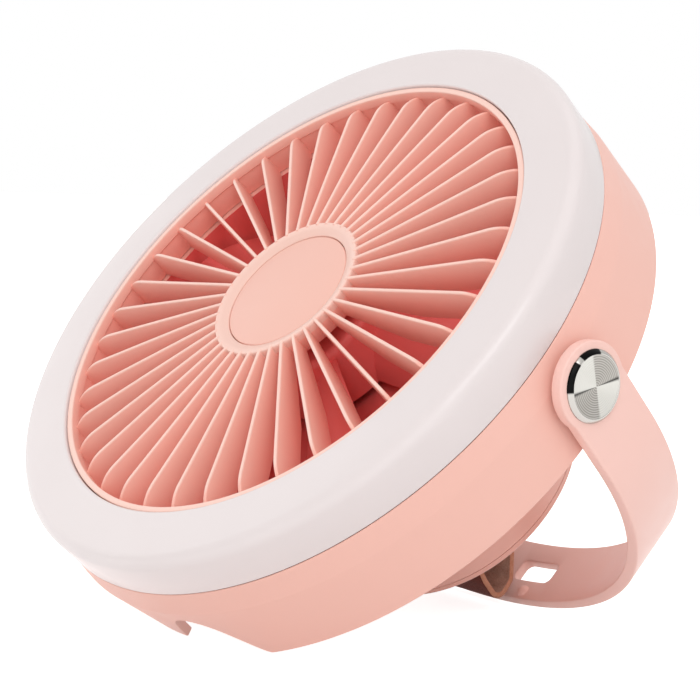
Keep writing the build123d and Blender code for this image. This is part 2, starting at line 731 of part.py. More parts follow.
pieces = {
    "front_grille": make_front_grille(),
    "hub_cap": make_hub_cap(),
    "light_ring": make_light_ring(),
    "led_board": make_led_board(),
    "led_chips": make_led_chips(),
    "front_housing": make_front_housing(),
    "rear_cover": make_rear_cover(),
    "boss_cap": make_boss_cap(),
    "main_board": make_main_board(),
    "tact_switches": make_tact_switches(),
    "usb_socket": make_usb_socket(),
    "charge_lights": make_charge_lights(),
    "battery_cells": make_battery_cells(),
    "battery_holder": make_battery_holder(),
    "motor_base": make_motor_base(),
    "stator_core": make_stator_core(),
    "stator_coils": make_stator_coils(),
    "motor_bearings": make_bearings(),
    "motor_screws": make_motor_screws(),
    "cover_screws": make_cover_screws(),
    "board_screws": make_board_screws(),
    "hang_strap": make_hang_strap(),
    "strap_plate": make_strap_plate(),
    "impeller": make_impeller(),
    "rotor_can": make_rotor_can(),
    "magnet_ring": make_magnet_ring(),
    "motor_shaft": make_motor_shaft(),
    "fan_button": Pos(button_offset, 0, 0) * make_button(),
    "light_button": Pos(-button_offset, 0, 0) * make_button(),
    "bracket": make_bracket(),
    "right_knob": make_knob(),
    "left_knob": mirror(make_knob(), Plane.YZ),
    "right_pivot_screw": make_pivot_screw(),
    "left_pivot_screw": mirror(make_pivot_screw(), Plane.YZ),
    "pivot_bushes": both_sides(make_bush()),
    "friction_washers": both_sides(make_washer()),
}


def as_compound(piece):
    """One compound of separate solids, whatever the piece was made as."""
    parts = piece if isinstance(piece, list) else [piece]
    return Compound([solid for part in parts for solid in part.solids()])


# ---- the fan's stance: it rests on the housing's heel and on the bracket's lower corner ----
lean = radians(bracket_lean)
foot_y = -outer_reach * sin(lean) - bracket_width / 2 * cos(lean)
foot_z = -pivot_depth - outer_reach * cos(lean) + bracket_width / 2 * sin(lean)
head_turn = degrees(atan2(-housing_depth - foot_z, foot_y + rear_radius))    # brings heel and foot level

turned = {name: Rot(head_turn, 0, 0) * as_compound(piece) for name, piece in pieces.items()}
box = Compound(list(turned.values())).bounding_box()
centre = Pos(-(box.min.X + box.max.X) / 2, -(box.min.Y + box.max.Y) / 2, -box.min.Z)

os.makedirs("parts", exist_ok=True)
for name, shape in turned.items():
    export_step(centre * shape, f"parts/{name}.step")
print("turned by", head_turn, "shift", centre.position)
print("size", box.size)
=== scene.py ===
import bmesh
import bpy
import json
from math import acos, atan2, cos, degrees, hypot, pi, radians, sin, sqrt, tan
from mathutils import Matrix, Vector


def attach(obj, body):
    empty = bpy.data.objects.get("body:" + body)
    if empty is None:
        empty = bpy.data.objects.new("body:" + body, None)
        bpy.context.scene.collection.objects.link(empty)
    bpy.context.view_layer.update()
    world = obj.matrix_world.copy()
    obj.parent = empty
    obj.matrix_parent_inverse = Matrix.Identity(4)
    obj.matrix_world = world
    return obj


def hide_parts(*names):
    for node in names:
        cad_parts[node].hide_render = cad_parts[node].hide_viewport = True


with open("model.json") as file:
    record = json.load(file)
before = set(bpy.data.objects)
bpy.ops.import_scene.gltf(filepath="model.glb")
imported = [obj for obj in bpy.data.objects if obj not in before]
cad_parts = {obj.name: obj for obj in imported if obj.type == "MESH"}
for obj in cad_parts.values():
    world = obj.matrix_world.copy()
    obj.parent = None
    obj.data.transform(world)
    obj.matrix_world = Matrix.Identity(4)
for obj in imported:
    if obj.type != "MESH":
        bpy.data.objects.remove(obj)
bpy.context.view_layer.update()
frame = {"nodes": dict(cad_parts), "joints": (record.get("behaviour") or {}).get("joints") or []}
print("frame loaded")

# The pieces are modelled in millimetres: X along the pivot, Y to the head's top edge, Z out of its face.
mm = 0.001
jointNamed = {joint["name"]: joint for joint in frame["joints"]}
pivotPoint = Vector(jointNamed["bracket_swing"]["pos_m"])
sideAxis = Vector((1, 0, 0))
faceAxis = Vector(jointNamed["fan_spin"]["axis"]).normalized()
topAxis = faceAxis.cross(sideAxis)
head = {"radius": 90.0, "pivotDepth": 25.5, "lean": 4.8}


def placeAt(origin, x, y, z, size=mm):
    turn = Matrix((x, y, z)).transposed().to_4x4()
    return Matrix.Translation(origin) @ turn @ Matrix.Scale(size, 4)


headPlace = placeAt(pivotPoint + faceAxis * head["pivotDepth"] * mm, sideAxis, topAxis, faceAxis)
pivotPlace = headPlace @ Matrix.Translation((0, 0, -head["pivotDepth"]))
bracketPlace = pivotPlace @ Matrix.Rotation(-radians(head["lean"]), 4, "X")


# finishes

def tint(red, green, blue):
    # screen colour, 0 to 255, as the linear colour that a shader takes
    line = [(c / 255 / 12.92 if c < 10.3 else ((c / 255 + 0.055) / 1.055) ** 2.4) for c in (red, green, blue)]
    return (*line, 1.0)


class Wire:  # an output socket that can stand in a sum
    def __init__(self, finish, socket):
        self.finish = finish
        self.socket = socket

    def sum(self, operation, *terms):
        return self.finish.node("ShaderNodeMath", {"operation": operation}, dict(enumerate(terms)))

    def __add__(self, other):
        return self.sum("ADD", self, other)

    def __sub__(self, other):
        return self.sum("SUBTRACT", self, other)

    def __rsub__(self, other):
        return self.sum("SUBTRACT", other, self)

    def __mul__(self, other):
        return self.sum("MULTIPLY", self, other)

    def __pow__(self, other):
        return self.sum("POWER", self, other)

    def __gt__(self, other):
        return self.sum("GREATER_THAN", self, other)

    def __lt__(self, other):
        return self.sum("LESS_THAN", self, other)

    __radd__ = __add__
    __rmul__ = __mul__


class Finish:  # one material and its nodes
    def __init__(self, name):
        self.material = bpy.data.materials.new(name)
        self.material.use_nodes = True
        self.tree = self.material.node_tree
        self.tree.nodes.clear()
        self.shader = self.tree.nodes.new("ShaderNodeBsdfPrincipled")
        output = self.tree.nodes.new("ShaderNodeOutputMaterial")
        self.tree.links.new(self.shader.outputs[0], output.inputs[0])

    def feed(self, socket, value):
        if isinstance(value, Wire):
            self.tree.links.new(value.socket, socket)
        else:
            socket.default_value = value

    def node(self, kind, settings=None, inputs=None, output=0):
        made = self.tree.nodes.new(kind)
        for name, value in (settings or {}).items():
            setattr(made, name, value)
        for name, value in (inputs or {}).items():
            self.feed(made.inputs[name], value)
        return Wire(self, made.outputs[output])

    def coords(self):
        return self.node("ShaderNodeTexCoord", output="Object")

    def coordsFrom(self, place):
        # a TEXTURE mapping takes the place's origin away, then undoes its turn
        return self.node("ShaderNodeMapping", {"vector_type": "TEXTURE"}, {
            "Vector": self.coords(), "Location": tuple(place.translation),
            "Rotation": tuple(place.to_euler())})

    def split(self, vector):
        parts = self.tree.nodes.new("ShaderNodeSeparateXYZ")
        self.feed(parts.inputs[0], vector)
        return [Wire(self, socket) for socket in parts.outputs]

    def noise(self, vector, scale, detail=2.0, roughness=0.5):
        return self.node("ShaderNodeTexNoise", {}, {
            "Vector": vector, "Scale": scale, "Detail": detail, "Roughness": roughness}, "Fac")

    def spread(self, value, low, high, to=(0.0, 1.0)):
        return self.node("ShaderNodeMapRange", {"clamp": True}, {
            "Value": value, "From Min": low, "From Max": high, "To Min": to[0], "To Max": to[1]})

    def vary(self, noise, first, second):
        # the middle of a noise, stretched from one value to another
        return self.spread(noise, 0.3, 0.7, (first, second))

    def mix(self, factor, first, second):
        # the colour sockets of a Mix node are its inputs 6 and 7 and its output 2
        return self.node("ShaderNodeMix", {"data_type": "RGBA"}, {0: factor, 6: first, 7: second}, 2)

    def bump(self, height, distance):
        return self.node("ShaderNodeBump", {}, {"Height": height, "Distance": distance, "Strength": 1.0})

    def set(self, **values):
        for name, value in values.items():
            self.feed(self.shader.inputs[name.replace("_", " ")], value)
        return self


# noise scales are in waves to the metre, and bump depths in metres
moulding = {"cloud": 18, "cloudShare": 0.35, "patch": 160, "pores": 2400, "poreDepth": 0.00002,
            "specular": 0.3}


def headCoords(finish):
    # object coordinates in metres, turned so that Z is the fan's axis and zero is the grille's plane
    return finish.coordsFrom(headPlace)


def cloudiness(finish, place):
    # the faint paler and deeper patches that moulding leaves
    return finish.spread(finish.noise(place, moulding["cloud"], 3), 0.35, 0.7, (0.0, moulding["cloudShare"]))


def pores(finish, place, grain=moulding["pores"]):
    return finish.bump(finish.noise(place, grain, 2, 0.6), moulding["poreDepth"])


def mouldedPlastic(name, colour, deep, roughness=0.42, grain=moulding["pores"]):
    finish = Finish(name)
    place = finish.coords()
    patches = finish.noise(place, moulding["patch"], 4)
    return finish.set(
        Base_Color=finish.mix(cloudiness(finish, place), tint(*colour), tint(*deep)),
        Roughness=finish.vary(patches, roughness - 0.03, roughness + 0.05),
        Normal=pores(finish, place, grain), Specular_IOR_Level=moulding["specular"])


vaneShade = {"edgeStart": 0.15, "edgeEnd": 0.75, "deepStart": 1.0, "deepEnd": 9.6,
             "hubRadius": 23.5, "hubDepth": 2.6}    # millimetres behind the grille's plane, and from its axis


def vanePlastic(name, edge, side, deep, ringTop):
    # painted highlight: the front edges are painted paler; painted shade: the colour deepens with depth
    # towards the duct
    finish = Finish(name)
    place = headCoords(finish)
    x, y, z = finish.split(place)
    depth = z * (-1 / mm)
    paintedEdgeHighlight = finish.spread(depth, vaneShade["edgeStart"], vaneShade["edgeEnd"], (1.0, 0.0))
    paintedDepthShade = finish.spread(depth, vaneShade["deepStart"], vaneShade["deepEnd"])
    body = finish.mix(paintedDepthShade, tint(*side), tint(*deep))
    # the hub ring keeps a plain pink instead of the painted depth shade
    hubRing = ((x * x + y * y) ** 0.5 < vaneShade["hubRadius"] * mm) * (depth < vaneShade["hubDepth"])
    body = finish.mix(hubRing, body, tint(*ringTop))
    return finish.set(
        Base_Color=finish.mix(paintedEdgeHighlight, body, tint(*edge)), Roughness=0.4, Normal=pores(finish, place))


coverShade = {"radius": 72.5, "plane": -32.2, "deeper": 4}


def coverPlastic(name, outside, inside):
    # pink behind, and a deeper coral where it faces the fan: painted shade for the inside of the duct
    finish = Finish(name)
    place = finish.coords()
    x, y, z = finish.split(headCoords(finish))
    paintedDuctShade = ((x * x + y * y) ** 0.5 < coverShade["radius"] * mm) * (z > coverShade["plane"] * mm)
    deep = [c - coverShade["deeper"] for c in outside]
    pink = finish.mix(cloudiness(finish, place), tint(*outside), tint(*deep))
    return finish.set(
        Base_Color=finish.mix(paintedDuctShade, pink, tint(*inside)), Roughness=0.44, Normal=pores(finish, place))


def diffuserPlastic(name):
    finish = Finish(name)
    place = headCoords(finish)
    cloud = finish.noise(place, 30, 2)
    return finish.set(
        Base_Color=finish.mix(cloud, tint(236, 226, 225), tint(232, 221, 220)),
        Roughness=finish.vary(finish.noise(place, 60, 3), 0.4, 0.46), Coat_Weight=0.4, Coat_Roughness=0.1)


metal = {"scratch": 700, "scratchDepth": 0.00001, "darker": 0.86}


def plainMetal(name, colour, roughness, scratch=metal["scratch"]):
    finish = Finish(name)
    marks = finish.noise(finish.coords(), scratch, 5, 0.65)
    worn = [c * metal["darker"] for c in colour]
    return finish.set(
        Base_Color=finish.mix(marks, tint(*colour), tint(*worn)), Metallic=1.0,
        Roughness=finish.vary(marks, roughness - 0.06, roughness + 0.08),
        Normal=finish.bump(marks, metal["scratchDepth"]))


hide = {"grain": 1500, "grainDepth": 0.00008, "creaseEnd": 0.16, "creaseTone": 0.7, "blotch": 120,
        "roughness": 0.6, "specular": 0.15}


def leather(name, colour, deep):
    # grain: cells with creases between them, and finer noise over both
    finish = Finish(name)
    place = finish.coords()
    cells = finish.node("ShaderNodeTexVoronoi", {"feature": "DISTANCE_TO_EDGE"},
                        {"Vector": place, "Scale": hide["grain"], "Randomness": 1.0}, "Distance")
    raised = finish.spread(cells, 0.0, hide["creaseEnd"])
    blotch = finish.noise(place, hide["blotch"], 4, 0.6)
    tone = finish.mix(finish.vary(blotch, 0, 1), tint(*colour), tint(*deep))
    crease = [c * hide["creaseTone"] for c in colour]
    fine = finish.noise(place, hide["grain"] * 2.5, 3)
    return finish.set(
        Base_Color=finish.mix(raised, tint(*crease), tone), Specular_IOR_Level=hide["specular"],
        Roughness=finish.spread(raised, 0, 1, (hide["roughness"] + 0.1, hide["roughness"])),
        Normal=finish.bump(raised * 0.7 + fine * 0.3, hide["grainDepth"]))


nap = {"fibres": 1900, "patches": 220, "depth": 0.0002}


def suede(name, colour, pale):
    finish = Finish(name)
    place = finish.coords()
    fibres = finish.noise(place, nap["fibres"], 6, 0.75)
    patches = finish.noise(place, nap["patches"], 3, 0.6)
    shade = finish.spread(fibres * 0.6 + patches * 0.4, 0.36, 0.64)
    return finish.set(Base_Color=finish.mix(shade, tint(*colour), tint(*pale)), Roughness=0.92,
                      Specular_IOR_Level=0.1, Sheen_Weight=0.15, Normal=finish.bump(fibres, nap["depth"]))


# rings is their pitch in millimetres and turns are angles; the ends are sines or cosines where a fan stops
spin = {"rings": 0.56, "ringDepth": 0.00002, "turn": 0.95, "fanEnd": 0.1, "wedgeEnd": 0.09,
        "ringTone": 0.35, "edgeTurn": 3.10, "edgeEnd": 0.59, "edgeFade": 0.04, "edgeMarks": 900,
        "breakTurn": 3.03, "breakEnd": 0.994, "breakFade": 0.0025}


def discAngle(finish, place):
    # radius in millimetres and angle round a knob's middle
    x, y, z = finish.split(finish.coordsFrom(place))
    radius = (x * x + y * y) ** 0.5 * (1 / mm)
    return radius, finish.node("ShaderNodeMath", {"operation": "ARCTAN2"}, {0: y, 1: x})


def wave(finish, operation, value):
    return finish.node("ShaderNodeMath", {"operation": operation}, {0: value})


def spunMetal(name, place):
    # lathe-turned face: fine rings, and the four fans of light and shade that they would reflect, painted
    # into the colour as painted highlight and painted shade, with a painted dark reflection along one line
    finish = Finish(name)
    radius, angle = discAngle(finish, place)
    turned = angle - spin["turn"]
    fans = wave(finish, "SINE", turned * 2.0)
    rings = wave(finish, "SINE", radius * (2 * pi / spin["rings"]))
    # bright marks the painted highlight fans
    bright = finish.spread(fans, -spin["fanEnd"], spin["fanEnd"], (1.0, 0.0))
    besideLine = wave(finish, "ABSOLUTE", wave(finish, "SINE", turned))
    paintedDarkWedge = finish.spread(besideLine, 0.0, spin["wedgeEnd"], (1.0, 0.0))
    lines = finish.spread(rings, -1, 1, (spin["ringTone"], 1.0))
    paintedShadeSectors = finish.mix(lines, tint(108, 105, 100), tint(178, 174, 168))
    face = finish.mix(paintedDarkWedge, finish.mix(bright, paintedShadeSectors, tint(200, 198, 192)), tint(36, 34, 32))
    return finish.set(
        Base_Color=face, Metallic=1.0, Roughness=0.34, Anisotropic=0.5,
        Normal=finish.bump(rings, spin["ringDepth"]))


def edgeMetal(name, place):
    # polished chamfer and side, with a painted dark reflection where they would mirror the unlit side of the
    # room, broken by a short painted light line
    finish = Finish(name)
    radius, angle = discAngle(finish, place)
    towardsDark = wave(finish, "COSINE", angle - spin["edgeTurn"])
    paintedDarkReflection = finish.spread(towardsDark, spin["edgeEnd"], spin["edgeEnd"] + spin["edgeFade"])
    towardsBreak = wave(finish, "COSINE", angle - spin["breakTurn"])
    paintedReflectionBreak = finish.spread(towardsBreak, spin["breakEnd"], spin["breakEnd"] + spin["breakFade"], (1.0, 0.0))
    return finish.set(
        Base_Color=finish.mix(paintedDarkReflection * paintedReflectionBreak, tint(182, 179, 174), tint(20, 20, 20)),
        Metallic=1.0, Roughness=0.22,
        Normal=finish.bump(finish.noise(finish.coords(), spin["edgeMarks"], 3), metal["scratchDepth"]))


finishes = {
    "shell": mouldedPlastic("shellPink", (251, 198, 184), (248, 194, 179)),
    # the bracket's pink is painted lighter than the shell's, standing in for the light that falls on the
    # bracket
    "band": mouldedPlastic("bandPinkPaintedLight", (255, 210, 199), (253, 206, 195), 0.38),
    "cap": mouldedPlastic("hubDiscPink", (248, 196, 181), (246, 193, 178), 0.36),
    # a deeper coral for the inside of the head: painted shade on the duct and the cover's middle, and the
    # impeller wears it too
    "inside": mouldedPlastic("insideShadeCoral", (245, 124, 120), (240, 112, 108), 0.4),
    "cover": coverPlastic("coverPink", (251, 198, 184), (240, 112, 108)),
    # dark brown painted as shade in the gap behind the light ring
    "seam": mouldedPlastic("seamShade", (138, 88, 80), (124, 78, 70), 0.6),
    "grille": vanePlastic("grillePink", (255, 214, 200), (253, 194, 178), (246, 170, 156), (246, 204, 190)),
    "light": diffuserPlastic("milkyDiffuser"),
    "button": mouldedPlastic("buttonPink", (238, 158, 142), (232, 150, 134), 0.5),
    "nylonBlack": mouldedPlastic("nylonBlack", (38, 38, 40), (30, 30, 32), 0.5),
    "nylonWhite": mouldedPlastic("nylonWhite", (226, 226, 222), (214, 214, 210), 0.5),
    "board": mouldedPlastic("boardGreen", (30, 104, 62), (22, 88, 52), 0.35, 900),
    "ledPackage": mouldedPlastic("ledPackage", (250, 240, 180), (246, 230, 150), 0.3),
    "lens": mouldedPlastic("lampLens", (240, 240, 236), (232, 232, 228), 0.18),
    "cell": mouldedPlastic("cellWrap", (54, 96, 150), (46, 84, 136), 0.35),
    "steel": plainMetal("zincSteel", (190, 190, 192), 0.34),
    "lamination": plainMetal("laminatedSteel", (142, 142, 146), 0.45, 1600),
    "copper": plainMetal("copperWire", (206, 120, 74), 0.36),
    "magnet": plainMetal("bondedMagnet", (58, 58, 60), 0.6),
    "brass": plainMetal("turnedBrass", (214, 178, 104), 0.3),
    "leather": leather("leatherOutside", (116, 50, 36), (96, 38, 28)),
    "suede": suede("suedeInside", (160, 122, 106), (206, 172, 154)),
    "rawEdge": suede("leatherEdge", (200, 140, 112), (222, 168, 140)),
}
print("finishes made")


# shared shapes

def revolved(corners, steps):
    # corners are (radius, height), then how far the corner is rounded and in how many steps
    shape = bmesh.new()
    points = [shape.verts.new((corner[0], 0, corner[1])) for corner in corners]
    shape.faces.new(points)
    for point, corner in zip(points, corners):
        if len(corner) > 2:
            bmesh.ops.bevel(shape, geom=[point], offset=corner[2], offset_type="OFFSET", affect="VERTICES",
                            segments=corner[3] if len(corner) > 3 else 4, profile=0.5, material=-1)
    bmesh.ops.delete(shape, geom=shape.faces[:], context="FACES_KEEP_BOUNDARY")
    bmesh.ops.spin(shape, geom=shape.verts[:] + shape.edges[:], cent=(0, 0, 0), axis=(0, 0, 1),
                   angle=2 * pi, steps=steps, use_merge=True)
    return shape


def join(shape, other):
    # puts a second shape into the first
    mesh = bpy.data.meshes.new("part")
    other.to_mesh(mesh)
    other.free()
    shape.from_mesh(mesh)
    bpy.data.meshes.remove(mesh)
    return shape


def allOf(shape):
    return shape.verts[:] + shape.edges[:] + shape.faces[:]


def pointsIn(geometry):
    return [item for item in geometry if isinstance(item, bmesh.types.BMVert)]


def pattern(shape, count):
    # copies of the whole shape, turned evenly about Z
    start = allOf(shape)
    for turn in range(1, count):
        points = pointsIn(bmesh.ops.duplicate(shape, geom=start)["geom"])
        bmesh.ops.rotate(shape, verts=points, cent=(0, 0, 0),
                         matrix=Matrix.Rotation(2 * pi * turn / count, 3, "Z"))
    return shape


def makePiece(name, shape, body, finish, place=headPlace, replaces=(), sharp=32, weld=0.0004):
    # an edge shows where its faces turn by more than sharp, in degrees; weld is in millimetres
    bmesh.ops.remove_doubles(shape, verts=shape.verts, dist=weld)
    bmesh.ops.recalc_face_normals(shape, faces=shape.faces)
    bmesh.ops.transform(shape, matrix=place, verts=shape.verts)
    for edge in shape.edges:
        edge.smooth = edge.is_manifold and edge.calc_face_angle(0) < radians(sharp)
    for face in shape.faces:
        face.smooth = True
    mesh = bpy.data.meshes.new(name)
    shape.to_mesh(mesh)
    shape.free()
    for one in finish if isinstance(finish, (list, tuple)) else [finish]:
        mesh.materials.append(one.material)
    piece = bpy.data.objects.new(name, mesh)
    bpy.context.collection.objects.link(piece)
    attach(piece, body)
    if replaces:
        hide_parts(*replaces)
    return piece


# light ring

ring = {"outer": 90.0, "inner": 74.2, "front": 0.8, "side": -12.35, "wall": 2.0, "corner": 3.6,
        "innerCorner": 0.6, "sideRound": 0.25, "foot": -13.4, "steps": 256}


def lightRing():
    wall = ring["wall"]
    shape = revolved([
        (ring["inner"], ring["front"], ring["innerCorner"]),
        (ring["outer"], ring["front"], ring["corner"], 10),
        (ring["outer"], ring["side"], ring["sideRound"], 2), (ring["outer"] - wall, ring["side"]),
        (ring["outer"] - wall, ring["front"] - wall), (ring["inner"] + wall, ring["front"] - wall),
        (ring["inner"] + wall, ring["foot"]), (ring["inner"], ring["foot"])], ring["steps"])
    return makePiece("light_ring_diffuser", shape, "head", finishes["light"],
                     replaces=["light_ring"])


lightRing()
print("light ring made")


# housing

wall = {"crease": -20.0, "creaseRadius": 90.85, "rear": -38.5, "rearRadius": 91.0, "thick": 2.6,
        "front": -12.6, "frontRound": 0.25, "rearRound": 0.5, "levels": (-24.0, -28.0, -31.0, -34.0, -37.0),
        "seamFront": -9.6, "seamOuter": 88.0, "seamInner": 86.0,
        "ductInner": 70.6, "ductOuter": 72.6, "flange": -13.4, "flangeRear": -15.4, "ductEnd": -30.3,
        "grilleSeat": 74.0, "grilleRear": -9.8, "near": 0.02, "steps": 540}
# the notch's feet and crowns are millimetres across from its middle line, which is turned by its angle;
# each flank is a curve on two handles, in shares of its width and height
notch = {"angle": 9.75, "leftFoot": -13.4, "leftCrown": 0.0, "rightCrown": 1.0, "rightFoot": 20.0,
         "depth": 14.5, "from": -21.5, "firstHandle": (0.3, 0.35), "secondHandle": (0.62, 1.0)}
# start, full, fading and end are degrees from the lowest point
heel = {"flat": 3.2, "start": -42, "full": -14, "fading": 8, "end": 24, "coverEdge": 84.0}


def ease(share):
    share = min(max(share, 0.0), 1.0)
    return share * share * (3 - 2 * share)


def curve(t, first, second):
    # from 0 to 1, on two handles
    return 3 * first * t * (1 - t) ** 2 + 3 * second * t * t * (1 - t) + t ** 3


def flank(share):
    # height of the notch's flank, 0 to 1, at a share of its width, found by halving
    low, high = 0.0, 1.0
    share = min(max(share, low), high)
    for halving in range(20):
        t = (low + high) / 2
        width = curve(t, notch["firstHandle"][0], notch["secondHandle"][0])
        low, high = (t, high) if width < share else (low, t)
    return curve(t, notch["firstHandle"][1], notch["secondHandle"][1])


def notchShare(x, y):
    # how far the rear edge is lifted, 0 to 1
    turn = radians(notch["angle"])
    across = x * cos(turn) + y * sin(turn)
    left = (across - notch["leftFoot"]) / (notch["leftCrown"] - notch["leftFoot"])
    right = (notch["rightFoot"] - across) / (notch["rightFoot"] - notch["rightCrown"])
    return flank(left) * flank(right)


def behindCrease(z):
    # 0 at the wall's crease and 1 at its rear edge
    return (wall["crease"] - z) / (wall["crease"] - wall["rear"])


def wallRadius(z):
    # the wall flares out to its crease, and is nearly straight behind it
    return wall["creaseRadius"] + (wall["rearRadius"] - wall["creaseRadius"]) * behindCrease(z)


def heelFlat(x, y, z):
    # how far the wall draws in behind the crease, at the heel
    angle = degrees(atan2(x, -y))
    rise = ease((angle - heel["start"]) / (heel["full"] - heel["start"]))
    fade = ease((heel["end"] - angle) / (heel["end"] - heel["fading"]))
    return heel["flat"] * rise * fade * max(0.0, behindCrease(z))


def shapedHeel(x, y, z):
    # a point of the wall behind its crease, with the notch and the drawn-in heel
    radius = hypot(x, y)
    lifted = z
    if z < notch["from"]:
        share = (notch["from"] - z) / (notch["from"] - wall["rear"])
        lifted = z + notchShare(x, y) * notch["depth"] * share
    grown = radius + wallRadius(lifted) - wallRadius(z) - heelFlat(x, y, lifted)
    return x * grown / radius, y * grown / radius, lifted


def housingOutline():
    thick = wall["thick"]
    inner = head["radius"] - thick
    rear = wall["rear"]
    outside = [(wallRadius(z), z) for z in wall["levels"]]
    inside = [(wallRadius(z) - thick, z) for z in reversed(wall["levels"])]
    return [
        (wall["seamOuter"], wall["seamFront"]), (wall["seamOuter"], wall["front"]),
        (head["radius"], wall["front"], wall["frontRound"], 2),
        (wall["creaseRadius"], wall["crease"]), *outside,
        (wallRadius(rear), rear, wall["rearRound"], 3),
        (wallRadius(rear) - thick, rear, wall["rearRound"], 3), *inside,
        (inner, wall["crease"]), (inner, wall["flangeRear"]), (wall["ductOuter"], wall["flangeRear"]),
        (wall["ductOuter"], wall["ductEnd"]), (wall["ductInner"], wall["ductEnd"]),
        (wall["ductInner"], wall["grilleRear"]), (wall["grilleSeat"], wall["grilleRear"]),
        (wall["grilleSeat"], wall["flange"]), (wall["seamInner"], wall["flange"]),
        (wall["seamInner"], wall["seamFront"])]


def frontHousing():
    shape = revolved(housingOutline(), wall["steps"])
    betweenWalls = (wall["ductOuter"] + head["radius"]) / 2
    for point in shape.verts:
        x, y, z = point.co
        if z < wall["crease"] and hypot(x, y) > betweenWalls and y < 0:
            point.co = shapedHeel(x, y, z)
    for face in shape.faces:
        centre = face.calc_center_median()
        radius = hypot(centre.x, centre.y)
        # the duct's inner faces take the inside coral, which is painted shade
        if radius < wall["ductInner"] + wall["near"]:
            face.material_index = 1
        # the lip and ledge in the gap behind the light ring take a dark painted shade
        elif centre.z > wall["front"] - wall["near"] and radius > betweenWalls:
            face.material_index = 2
    faced = [finishes["shell"], finishes["inside"], finishes["seam"]]
    return makePiece("housing_shell", shape, "head", faced,
                     replaces=["front_housing"], sharp=5)


pads = {"bore": 3.2, "radius": 8.6, "foot": 88.0, "seat": 91.0, "round": 0.2, "steps": 64}


def pivotPads():
    # flat round seats on the wall, one each side, which the friction washers turn on
    shape = bmesh.new()
    for side in (1, -1):
        pad = revolved([
            (pads["bore"], pads["foot"]), (pads["radius"], pads["foot"]),
            (pads["radius"], pads["seat"], pads["round"], 2), (pads["bore"], pads["seat"])], pads["steps"])
        bmesh.ops.transform(pad, verts=pad.verts, matrix=Matrix.Rotation(side * pi / 2, 4, "Y"))
        join(shape, pad)
    return makePiece("pivot_pads", shape, "head", finishes["shell"], pivotPlace)


ridge = {"middle": 79.6, "long": 16.4, "wide": 3.4, "deep": 1.6, "centre": -32.9, "edge": 0.5}
cadMesh = {"weld": 0.000002, "cutNear": 0.000001}    # in metres, because a node's mesh is


def postRidge(side):
    bar = bmesh.new()
    bmesh.ops.create_cube(bar, size=1.0)
    bmesh.ops.scale(bar, vec=(ridge["long"], ridge["wide"], ridge["deep"]), verts=bar.verts)
    bmesh.ops.bevel(bar, geom=bar.edges[:], offset=ridge["edge"], affect="EDGES", segments=2, profile=0.5,
                    material=-1)
    bmesh.ops.translate(bar, vec=(side * ridge["middle"], 0, ridge["centre"]), verts=bar.verts)
    return bar


def coverPlate():
    # the rear cover with its edge cut straight at the heel, so that the notch stays open behind it,
    # and a low ridge over each pivot post
    shape = bmesh.new()
    shape.from_mesh(frame["nodes"]["rear_cover"].data)
    bmesh.ops.remove_doubles(shape, verts=shape.verts, dist=cadMesh["weld"])
    cut = bmesh.ops.bisect_plane(
        shape, geom=allOf(shape), dist=cadMesh["cutNear"],
        plane_co=headPlace @ Vector((0, -heel["coverEdge"], 0)), plane_no=-topAxis,
        clear_outer=True)["geom_cut"]
    rim = [item for item in cut if isinstance(item, bmesh.types.BMEdge)]
    bmesh.ops.triangle_fill(shape, edges=rim, use_beauty=True, use_dissolve=False)
    bmesh.ops.transform(shape, matrix=headPlace.inverted(), verts=shape.verts)
    for side in (1, -1):
        join(shape, postRidge(side))
    return makePiece("intake_cover", shape, "head", finishes["cover"],
                     replaces=["rear_cover"], sharp=25, weld=0.001)


frontHousing()
pivotPads()
coverPlate()
print("housing made")


# front grille

grille = {"rimOuter": 73.9, "rimInner": 72.2, "rimDepth": 9.6, "rimRound": 0.35, "rimStep": 3.0,
          "rimStepEnd": 3.4, "rimStepIn": 0.5, "vanes": 40, "firstAngle": 3.85, "vaneFront": 0.95,
          "vaneRear": 1.5, "vaneBite": 0.8, "shoulder": 12.0, "shoulderDrop": 2.2, "shoulderSteps": 8,
          "shoulderSink": 0.1, "edgeRound": 0.42, "edgeReach": 2.6, "edgeShortest": 0.2,
          "hub": 23.2, "hubDepth": 5.4, "hubSkirt": 1.2, "hubRound": 1.1, "crown": 22.0, "crownDepth": 0.3,
          "crownRound": 0.8, "skirtRound": 0.4, "cap": 19.0, "capDepth": 1.6, "capGap": 0.22, "capThick": 2.2,
          "capRound": 0.3, "capDome": 0.12, "seatDepth": 3.9, "seatTop": 1.5, "seatRound": 0.2, "bore": 0.2,
          "rimSteps": 240, "hubSteps": 160}


